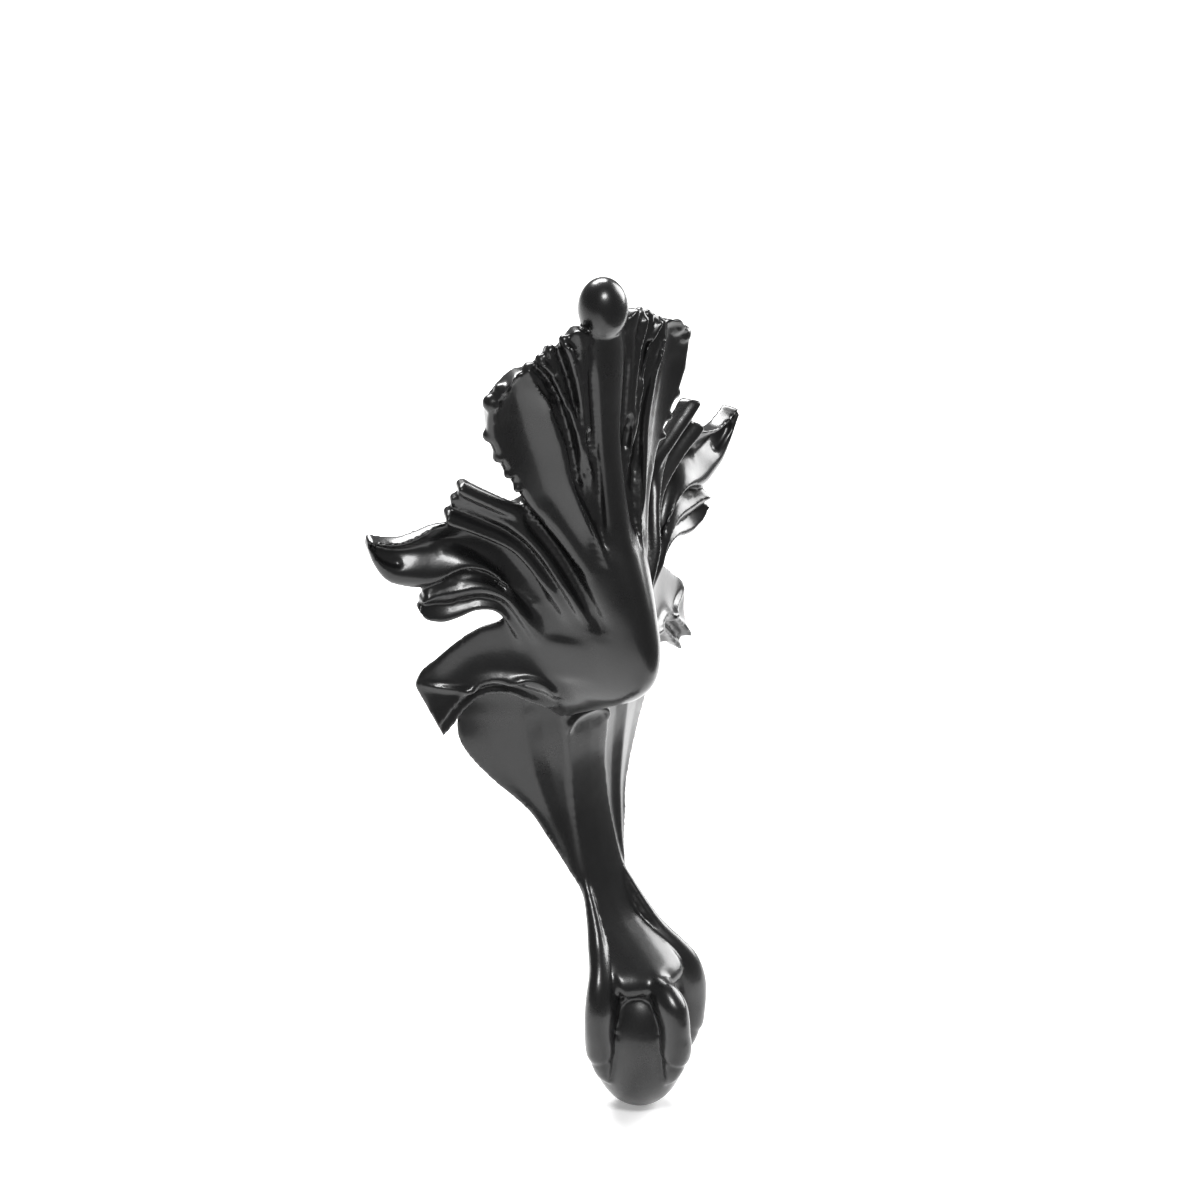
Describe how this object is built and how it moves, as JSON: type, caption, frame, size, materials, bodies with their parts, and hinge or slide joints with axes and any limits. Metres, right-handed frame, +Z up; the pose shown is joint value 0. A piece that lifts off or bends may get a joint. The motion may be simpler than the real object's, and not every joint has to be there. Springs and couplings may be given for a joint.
{
  "type": "claw and ball foot",
  "caption": "Cast iron bath foot: a claw grips a ball, a curved leg rises to a knee and opens into a fan of leaves, hollow behind with a seat lug.",
  "frame": {"origin": "point of the floor under the middle of the ball, on the ball's small flat", "axes": "+Z up along the height of the foot; the carved front faces -Y; +X across, with the foot the same on both sides"},
  "size_m": [0.1724, 0.0857, 0.33],
  "materials": {
    "painted_iron": "satin black paint over cast iron"
  },
  "bodies": {
    "root": {"foot": "painted_iron"}
  },
  "joints": []
}
